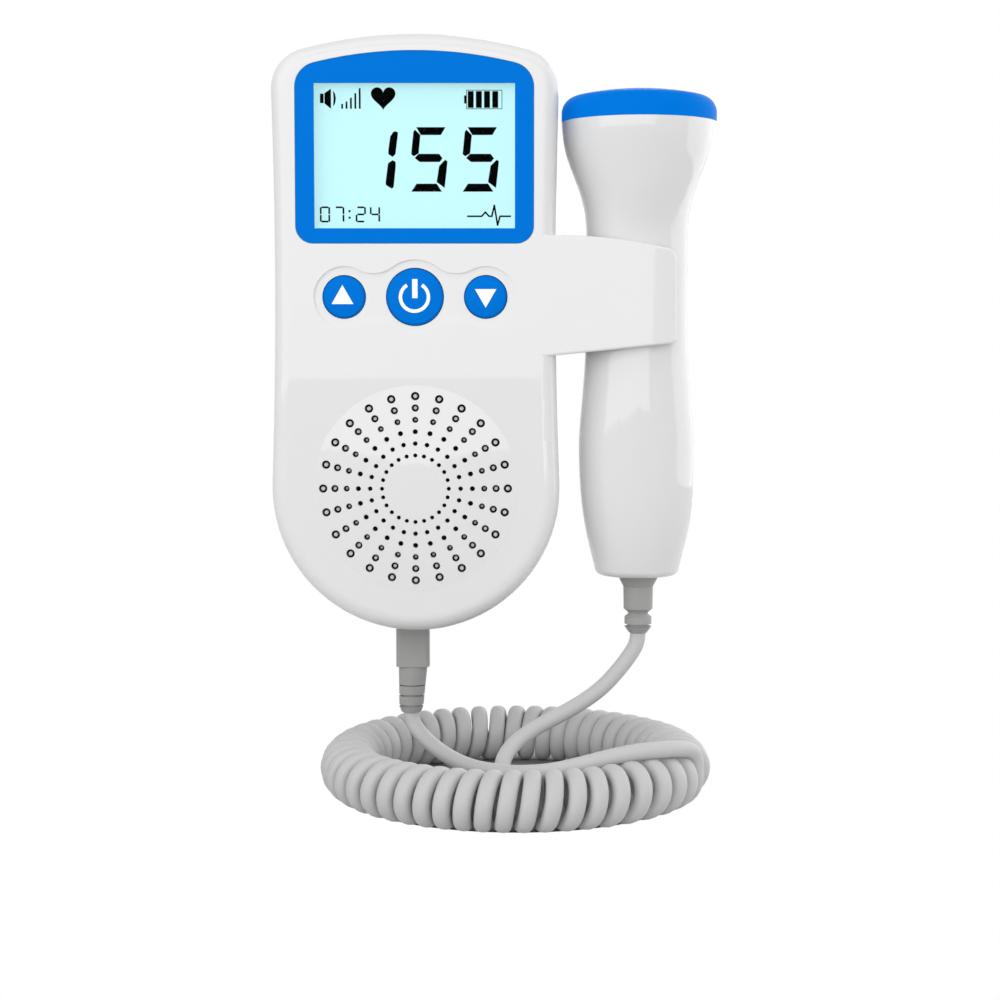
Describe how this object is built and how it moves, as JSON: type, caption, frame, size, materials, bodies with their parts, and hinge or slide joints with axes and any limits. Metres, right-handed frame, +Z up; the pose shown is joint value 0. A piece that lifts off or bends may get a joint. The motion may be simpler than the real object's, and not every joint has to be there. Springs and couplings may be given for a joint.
{
  "type": "fetal doppler monitor",
  "caption": "Handheld pregnancy heart-beat monitor with display, keys and speaker, a probe held in a side clip and a curly lead lying in a ring below.",
  "frame": {"origin": "centre of the main unit's flat back", "axes": "+X to the viewer's right, where the probe is; +Y out of the back; +Z up along the unit"},
  "size_m": [0.1112, 0.098, 0.1888],
  "materials": {
    "shell": "smooth white ABS, satin gloss",
    "blue": "smooth blue ABS",
    "lens": "clear acrylic",
    "lcd": "cyan backlit glass",
    "diffuser": "milky light guide",
    "board": "solder-masked glass fibre",
    "chip": "black moulding",
    "steel": "zinc plated",
    "contact": "nickel plated",
    "cloth": "black dust cloth",
    "paper": "black doped paper",
    "magnet": "sintered ferrite",
    "cell": "printed sleeve",
    "ceramic": "silvered ceramic",
    "backing": "cast damping resin",
    "cord": "soft grey sheath"
  },
  "bodies": {
    "unit": {"front_shell": "shell", "rear_shell": "shell", "display_bezel": "blue", "display_lens": "lens", "lcd_panel": "lcd", "lcd_backlight": "diffuser", "main_board": "board", "board_screws": "steel", "board_chips": "chip", "tact_switches": "chip", "headphone_jack": "chip", "speaker_grille": "shell", "speaker_cloth": "cloth", "speaker_frame": "steel", "speaker_cone": "paper", "speaker_magnet": "magnet", "battery_left": "cell", "battery_right": "cell", "battery_contacts": "contact", "case_screws": "steel", "unit_boot": "cord", "cord_unit_lead": "cord", "cord_coil": "cord", "cord_probe_lead": "cord"},
    "up_key": {"button_up": "blue"},
    "power_key": {"button_power": "blue"},
    "down_key": {"button_down": "blue"},
    "cover": {"battery_cover": "shell"},
    "probe": {"probe_front_shell": "shell", "probe_rear_shell": "shell", "probe_cap": "blue", "transducer_crystals": "ceramic", "transducer_backing": "backing", "probe_board": "board", "probe_boot": "cord"}
  },
  "joints": [
    {"name": "up_press", "type": "slide", "parent": "unit", "child": "up_key", "axis": [0, 1, 0], "range_m": [0, 0.0006], "stiffness_N_per_m": 1500},
    {"name": "power_press", "type": "slide", "parent": "unit", "child": "power_key", "axis": [0, 1, 0], "range_m": [0, 0.0006], "stiffness_N_per_m": 1500},
    {"name": "down_press", "type": "slide", "parent": "unit", "child": "down_key", "axis": [0, 1, 0], "range_m": [0, 0.0006], "stiffness_N_per_m": 1500},
    {"name": "cover_hinge", "type": "hinge", "parent": "unit", "child": "cover", "pos_m": [0, -0.0013, 0.0628], "axis": [1, 0, 0], "range_deg": [0, 95]},
    {"name": "probe_lift", "type": "slide", "parent": "unit", "child": "probe", "axis": [0, 0, 1], "range_m": [0, 0.09]}
  ]
}
